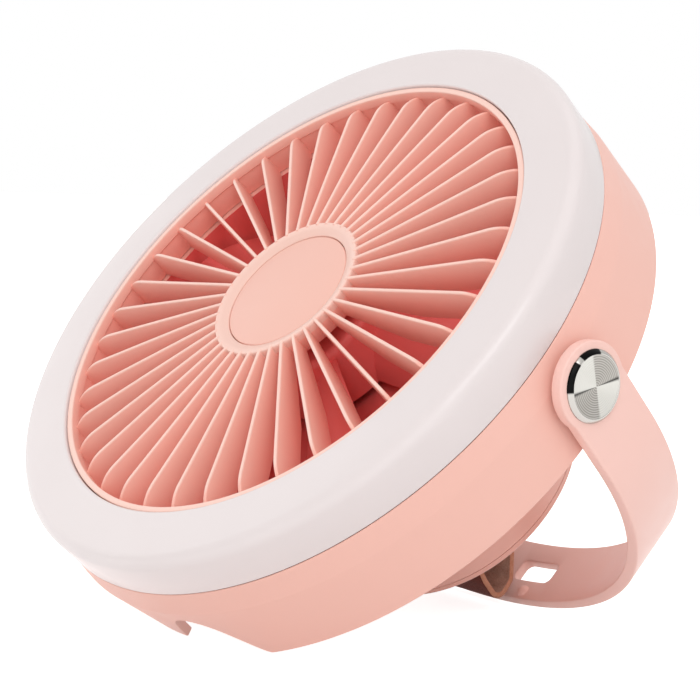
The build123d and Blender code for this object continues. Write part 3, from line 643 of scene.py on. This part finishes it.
def vane():
    # plate in the XZ plane with a level front edge and a rounded shoulder at the rim
    shape = bmesh.new()
    rim = grille["rimInner"] + grille["rimStepIn"]
    bend = grille["shoulder"]
    steps = grille["shoulderSteps"]
    sweep = acos(1 - grille["shoulderDrop"] / bend)
    start = grille["rimInner"] - bend * sin(sweep)
    root = grille["hub"] - grille["vaneBite"]
    arc = [(start + bend * sin(sweep * k / steps), bend * cos(sweep * k / steps) - bend)
           for k in range(steps + 1)]
    outline = [(root, 0)] + arc + [
        (rim, -grille["shoulderDrop"] - grille["shoulderSink"]), (rim, -grille["rimDepth"]),
        ((root + rim) / 2, -grille["rimDepth"]), (root, -grille["hubDepth"])]
    points = [shape.verts.new((x, 0, z)) for x, z in outline]
    plate = shape.faces.new(points)
    moved = pointsIn(bmesh.ops.extrude_face_region(shape, geom=[plate])["geom"])
    # 1 mm thick at first, and then scaled to the thickness at each depth
    bmesh.ops.translate(shape, verts=points, vec=(0, -0.5, 0))
    bmesh.ops.translate(shape, verts=moved, vec=(0, 0.5, 0))
    for point in shape.verts:
        share = min(1.0, -point.co.z / grille["rimDepth"])
        point.co.y *= grille["vaneFront"] + (grille["vaneRear"] - grille["vaneFront"]) * share
    bmesh.ops.recalc_face_normals(shape, faces=shape.faces)
    # the two long edges of the front, from the hub over the shoulder
    front = [edge for edge in shape.edges
             if edge.calc_face_angle(0) > 1 and max(v.co.z for v in edge.verts) > -grille["edgeReach"]
             and abs(edge.verts[0].co.x - edge.verts[1].co.x) > grille["edgeShortest"]]
    bmesh.ops.bevel(shape, geom=front, offset=grille["edgeRound"], offset_type="OFFSET", affect="EDGES",
                    segments=3, profile=0.5, material=-1, clamp_overlap=True)
    bmesh.ops.rotate(shape, verts=shape.verts, cent=(0, 0, 0),
                     matrix=Matrix.Rotation(radians(grille["firstAngle"]), 3, "Z"))
    return shape


def frontGrille():
    shape = pattern(vane(), grille["vanes"])
    inner, outer, stepped = grille["rimInner"], grille["rimOuter"], grille["rimInner"] + grille["rimStepIn"]
    rim = revolved([
        (inner, 0, grille["rimRound"], 3), (outer, 0, grille["rimRound"], 3), (outer, -grille["rimDepth"]),
        (stepped, -grille["rimDepth"]), (stepped, -grille["rimStepEnd"]), (inner, -grille["rimStep"])],
        grille["rimSteps"])
    join(shape, rim)
    seat = grille["cap"] + grille["capGap"]
    skirt = -grille["hubDepth"] - grille["hubSkirt"]
    hub = revolved([
        (grille["bore"], -grille["seatDepth"]), (seat, -grille["seatDepth"]),
        (seat, -grille["seatTop"], grille["seatRound"], 2),
        (grille["crown"], -grille["crownDepth"], grille["crownRound"], 4),
        (grille["hub"], -grille["crownDepth"], grille["hubRound"], 6),
        (grille["hub"], skirt, grille["skirtRound"], 2), (grille["bore"], skirt)],
        grille["hubSteps"])
    join(shape, hub)
    return makePiece("vaned_grille", shape, "head", finishes["grille"],
                     replaces=["front_grille"])


def hubCap():
    top = -grille["capDepth"]
    under = top - grille["capThick"]
    shape = revolved([(0, under), (grille["cap"], under), (grille["cap"], top, grille["capRound"], 3),
                      (0, top + grille["capDome"])], grille["hubSteps"])
    return makePiece("hub_disc", shape, "head", finishes["cap"], replaces=["hub_cap"])


frontGrille()
hubCap()
print("grille made")


# bracket

bracket = {"inner": 92.4, "straight": 19.7, "reach": 94.6, "thick": 3.15, "width": 20.4, "endRadius": 10.9,
           "edge": 0.4, "slotAt": 17.7, "slotLong": 16.0, "slotWide": 7.0, "slotCorner": 2.2,
           "studRadius": 2.0, "studHeight": 1.5, "studAt": 7.4, "slices": 220, "pastPivot": 20.0,
           "endSteps": 32}


def bracketPath():
    # points along the band's inner face, with their outward normals and the length run from the middle
    # a quarter of an ellipse, in quarter degrees, and then the straight arm
    deep = bracket["reach"] - bracket["straight"]
    path = []
    run = 0.0
    last = None
    for step in range(361):
        turn = radians(step / 4)
        x = bracket["inner"] * sin(turn)
        z = -bracket["straight"] - deep * cos(turn)
        out = Vector((sin(turn) / bracket["inner"], 0, -cos(turn) / deep)).normalized()
        here = Vector((x, 0, z))
        run += (here - last).length if last else 0.0
        last = here
        path.append((run, here, out))
    arm = bracket["straight"] + bracket["pastPivot"]
    path.append((run + arm, last + Vector((0, 0, arm)), Vector((1, 0, 0))))
    return path


bandPath = bracketPath()
bandHalf = bandPath[-2][0] + bracket["straight"]    # from the middle to the pivot


def bent(length, across, rise):
    # flat band coordinates to the bent band
    side = -1 if length < 0 else 1
    length = abs(length)
    for (runA, pointA, outA), (runB, pointB, outB) in zip(bandPath, bandPath[1:]):
        if length <= runB:
            share = (length - runA) / (runB - runA)
            point = pointA.lerp(pointB, share)
            out = outA.lerp(outB, share).normalized()
            break
    place = point + out * rise
    return Vector((side * place.x, across, place.z))


def bandOutline():
    # the flat band: straight sides, and round ends slightly wider than the band
    half = bracket["width"] / 2
    reach = sqrt(bracket["endRadius"] ** 2 - half ** 2)
    first = acos(-reach / bracket["endRadius"])
    steps = bracket["endSteps"]
    turns = [first - 2 * first * k / steps for k in range(steps + 1)]
    points = [(bandHalf + bracket["endRadius"] * cos(turn), bracket["endRadius"] * sin(turn))
              for turn in turns]
    return points + [(-x, -y) for x, y in points]


def slotOutline(middle):
    # each corner in steps of 15 degrees
    halfLong = bracket["slotLong"] / 2
    halfWide = bracket["slotWide"] / 2
    corner = bracket["slotCorner"]
    points = []
    for signX, signY, start in ((1, 1, 0), (-1, 1, 90), (-1, -1, 180), (1, -1, 270)):
        for k in range(7):
            turn = radians(start + 15 * k)
            points.append((middle + signX * (halfLong - corner) + corner * cos(turn),
                           signY * (halfWide - corner) + corner * sin(turn)))
    return points


def flatBand():
    shape = bmesh.new()
    loops = [bandOutline(), slotOutline(bracket["slotAt"]), slotOutline(-bracket["slotAt"])]
    edges = []
    for loop in loops:
        points = [shape.verts.new((x, y, 0)) for x, y in loop]
        edges += [shape.edges.new((a, b)) for a, b in zip(points, points[1:] + points[:1])]
    bmesh.ops.triangle_fill(shape, edges=edges, use_beauty=True)
    bmesh.ops.dissolve_limit(shape, verts=shape.verts, edges=shape.edges, angle_limit=0.001)
    top = pointsIn(bmesh.ops.extrude_face_region(shape, geom=shape.faces[:])["geom"])
    bmesh.ops.translate(shape, verts=top, vec=(0, 0, bracket["thick"]))
    bmesh.ops.recalc_face_normals(shape, faces=shape.faces)
    # the sharp edges that lie flat, which run round the band's outline and its slots
    rims = [edge for edge in shape.edges if edge.calc_face_angle(0) > 1.2
            and abs(edge.verts[0].co.z - edge.verts[1].co.z) < 0.1]
    bmesh.ops.bevel(shape, geom=rims, offset=bracket["edge"], offset_type="OFFSET", affect="EDGES",
                    segments=3, profile=0.5, material=-1)
    reach = bandHalf + bracket["endRadius"]
    for k in range(1, bracket["slices"]):
        at = -reach + 2 * reach * k / bracket["slices"]
        bmesh.ops.bisect_plane(shape, geom=allOf(shape), dist=0.0001, plane_co=(at, 0, 0), plane_no=(1, 0, 0))
    return shape


def bentBracket():
    # the flat band bent round, with a small ball beside each slot on its inner face
    shape = flatBand()
    for point in shape.verts:
        point.co = bent(*point.co)
    for side in (-1, 1):
        stud = bmesh.new()
        bmesh.ops.create_uvsphere(stud, u_segments=24, v_segments=16, radius=bracket["studRadius"])
        sunk = bracket["studRadius"] - bracket["studHeight"]
        inside = bent(side * bracket["slotAt"], -bracket["studAt"], sunk)
        bmesh.ops.translate(stud, verts=stud.verts, vec=inside)
        join(shape, stud)
    return makePiece("swing_bracket", shape, "bracket", finishes["band"], bracketPlace,
                     replaces=["bracket"], weld=0.001)


knob = {"radius": 8.9, "seat": 94.35, "face": 96.75, "chamfer": 0.85, "lip": 0.35, "step": 0.1, "dish": 0.12,
        "round": 0.15, "faceRound": 0.12, "lipRound": 0.05, "steps": 128}


def pivotKnob(name, side, node):
    place = pivotPlace @ Matrix.Rotation(side * pi / 2, 4, "Y")
    radius, top = knob["radius"], knob["face"]
    flat = radius - knob["chamfer"]
    lip = flat - knob["lip"]
    dish = top - knob["dish"]
    shape = revolved([
        (0, knob["seat"]), (radius, knob["seat"]), (radius, top - knob["chamfer"], knob["round"], 2),
        (flat, top, knob["faceRound"], 2), (lip, top, knob["lipRound"], 2),
        (lip - knob["step"], dish, knob["lipRound"], 2), (0, dish)], knob["steps"])
    for face in shape.faces:
        centre = face.calc_center_median()
        if hypot(centre.x, centre.y) < lip - knob["step"] / 2 and centre.z > (knob["seat"] + top) / 2:
            face.material_index = 1
    metre = place @ Matrix.Scale(1000, 4)    # the knob's place without the change to millimetres
    # both knob finishes carry painted reflections in their colour
    turned = [edgeMetal(name + "Edge", metre), spunMetal(name + "Spun", metre)]
    return makePiece(name, shape, "bracket", turned, place, replaces=[node])


bentBracket()
pivotKnob("knob_right_cap", 1, "right_knob")
pivotKnob("knob_left_cap", -1, "left_knob")
print("bracket made")


# leather hang loop

strap = {"width": 30.0, "thick": 1.8, "round": 0.5, "step": 0.9, "middle": (0, -9.5, -102.0),
         "route": ((5.6, -88.0, 0), (5.6, -93.0, 6), (-6.5, -107.0, 9), (-14.5, -114.2, 3.2),
                   (-21.8, -114.2, 3.2), (-20.6, -104.0, 16), (-14.5, -93.0, 6), (-14.5, -88.0, 0))}


def roundedRoute(corners):
    # points along straight runs joined by arcs; corners are (y, z, radius)
    route = [Vector(corners[0][:2])]
    for before, corner, after in zip(corners, corners[1:], corners[2:]):
        here = Vector(corner[:2])
        into = (here - Vector(before[:2])).normalized()
        away = (Vector(after[:2]) - here).normalized()
        turn = into.angle_signed(away)
        cut = corner[2] * abs(tan(turn / 2))
        start = here - into * cut
        side = 1 if turn > 0 else -1
        centre = start + Vector((into.y, -into.x)) * corner[2] * side
        count = max(2, int(abs(turn) * corner[2] / strap["step"]))
        for k in range(count + 1):
            spoke = start - centre
            spoke.rotate(Matrix.Rotation(-turn * k / count, 2))
            route.append(centre + spoke)
    route.append(Vector(corners[-1][:2]))
    return route


def hangStrap():
    # the strap's section, extruded step by step along its route
    shape = bmesh.new()
    half = strap["width"] / 2
    thick = strap["thick"] / 2
    route = roundedRoute(strap["route"])
    outline = ((-half, -thick), (half, -thick), (half, thick), (-half, thick))
    corners = [shape.verts.new((x, 0, z)) for x, z in outline]
    shape.faces.new(corners)
    for point in corners:
        bmesh.ops.bevel(shape, geom=[point], offset=strap["round"], affect="VERTICES", segments=3,
                        profile=0.5, material=-1)
    end = shape.faces[:][0]
    profile = [v.co.copy() for v in end.verts]
    for number, here in enumerate(route):
        along = (route[min(number + 1, len(route) - 1)] - route[max(number - 1, 0)]).normalized()
        across = Vector((0, along.y, -along.x))
        if number:
            grown = bmesh.ops.extrude_face_region(shape, geom=[end])["geom"]
            end = [item for item in grown if isinstance(item, bmesh.types.BMFace)][0]
        for point, flat in zip(end.verts, profile):
            point.co = Vector((flat.x, here.x, here.y)) + across * flat.z
    # leather outside, suede inside and raw edges
    middle = Vector(strap["middle"])
    bmesh.ops.recalc_face_normals(shape, faces=shape.faces)
    for face in shape.faces:
        centre = face.calc_center_median()
        outward = Vector((0, centre.y - middle.y, centre.z - middle.z)).normalized().dot(face.normal)
        face.material_index = 2 if abs(face.normal.x) > 0.5 else (0 if outward > 0 else 1)
    sides = [finishes["leather"], finishes["suede"], finishes["rawEdge"]]
    return makePiece("hang_loop", shape, "head", sides, replaces=["hang_strap"],
                     sharp=50)


hangStrap()
print("hang loop made")


# CAD nodes that keep their shape

nodeFinish = {
    "boss_cap": "shell", "led_board": "board", "led_chips": "ledPackage",
    "main_board": "board", "tact_switches": "nylonBlack", "usb_socket": "steel", "charge_lights": "lens",
    "battery_cells": "cell", "battery_holder": "nylonBlack", "motor_base": "nylonWhite",
    "stator_core": "lamination", "stator_coils": "copper", "motor_bearings": "steel", "motor_screws": "steel",
    # the impeller wears the inside coral, the painted shade of the duct
    "cover_screws": "steel", "board_screws": "steel", "strap_plate": "steel", "impeller": "inside",
    "rotor_can": "lamination", "magnet_ring": "magnet", "motor_shaft": "steel", "fan_button": "button",
    "light_button": "button", "right_pivot_screw": "steel", "left_pivot_screw": "steel",
    "pivot_bushes": "brass", "friction_washers": "nylonBlack"}


def dressNode(name, finish):
    mesh = frame["nodes"][name].data
    mesh.materials.clear()
    mesh.materials.append(finish.material)


for nodeName, finishName in nodeFinish.items():
    dressNode(nodeName, finishes[finishName])
print("CAD nodes dressed")


# floor, light and camera

studio = {"floor": 0.84, "floorSize": 6.0, "world": 0.71}    # glow that white rays see, metres, and light
lamps = {
    "key_light": {"place": (0.9, -0.7, 1.1), "target": (0, 0, 0.08), "size": 0.9, "watts": 4.9},
    "fill_light": {"place": (1.0, -0.85, 0.28), "target": (0, 0, 0.06), "size": 0.8, "watts": 1.5},
    "side_light": {"place": (-0.9, -0.35, 0.35), "target": (0, 0, 0.03), "size": 0.8, "watts": 0.9},
    "top_light": {"place": (0.1, 0.3, 1.4), "target": (0, 0, 0.08), "size": 1.2, "watts": 1.2}}
white = (1, 1, 1, 1)


def whiteRays(finish):
    # 1 for the rays that should see the white background
    camera, glossy, transmission = [
        finish.node("ShaderNodeLightPath", output=name)
        for name in ("Is Camera Ray", "Is Glossy Ray", "Is Transmission Ray")]
    return camera.sum("MAXIMUM", camera.sum("MAXIMUM", camera, glossy), transmission)


def floorPlane():
    shape = bmesh.new()
    bmesh.ops.create_grid(shape, x_segments=1, y_segments=1, size=studio["floorSize"])
    mesh = bpy.data.meshes.new("studio_floor")
    shape.to_mesh(mesh)
    shape.free()
    finish = Finish("floorPaper")
    paper = finish.mix(finish.noise(finish.coords(), 3, 2), tint(236, 236, 236), tint(240, 240, 240))
    glow = (studio["floor"], studio["floor"], studio["floor"], 1)
    finish.set(Base_Color=paper, Roughness=0.95, Emission_Strength=1.0,
               Emission_Color=finish.mix(whiteRays(finish), (0, 0, 0, 1), glow))
    mesh.materials.append(finish.material)
    floor = bpy.data.objects.new("studio_floor", mesh)
    bpy.context.collection.objects.link(floor)


def areaLight(name, place, target, size, watts):
    lamp = bpy.data.lights.new(name, "AREA")
    lamp.shape = "DISK"
    lamp.size = size
    lamp.energy = watts
    holder = bpy.data.objects.new(name, lamp)
    holder.location = place
    holder.rotation_euler = (Vector(target) - Vector(place)).to_track_quat("-Z", "Y").to_euler()
    bpy.context.collection.objects.link(holder)


class WorldTree:  # lets the world's nodes use the same helpers as a material's
    node = Finish.node
    feed = Finish.feed

    def __init__(self, tree):
        self.tree = tree


def whiteWorld():
    world = bpy.data.worlds.new("studio")
    world.use_nodes = True
    bpy.context.scene.world = world
    sky = WorldTree(world.node_tree)
    sky.tree.nodes.clear()
    plain = sky.node("ShaderNodeBackground", {}, {"Color": white, "Strength": studio["world"]})
    bright = sky.node("ShaderNodeBackground", {}, {"Color": white, "Strength": 1.0})
    mixed = sky.node("ShaderNodeMixShader", {}, {0: whiteRays(sky), 1: plain, 2: bright})
    out = sky.tree.nodes.new("ShaderNodeOutputWorld")
    sky.tree.links.new(mixed.socket, out.inputs[0])


# place, right and up are in the head's frame; place, lens and sensor are in millimetres, nearest in metres
view = {"place": (381.8, -169.4, 240.7), "right": (0.63503, 0.53691, -0.55539),
        "up": (-0.10029, 0.77019, 0.62988), "lens": 92.57, "sensor": 36.0, "nearest": 0.01}


def placeCamera():
    turnOnly = headPlace.to_3x3().normalized()
    right = (turnOnly @ Vector(view["right"])).normalized()
    up = (turnOnly @ Vector(view["up"])).normalized()
    back = right.cross(up)
    up = back.cross(right)
    camera = bpy.data.cameras.new("studio_camera")
    camera.lens = view["lens"]
    camera.sensor_width = view["sensor"]
    camera.clip_start = view["nearest"]
    holder = bpy.data.objects.new("studio_camera", camera)
    holder.matrix_world = placeAt(headPlace @ Vector(view["place"]), right, up, back, 1.0)
    bpy.context.collection.objects.link(holder)
    bpy.context.scene.camera = holder


floorPlane()
whiteWorld()
for lampName, lamp in lamps.items():
    areaLight(lampName, **lamp)
placeCamera()
bpy.context.scene.view_settings.view_transform = "Standard"
print("studio made")
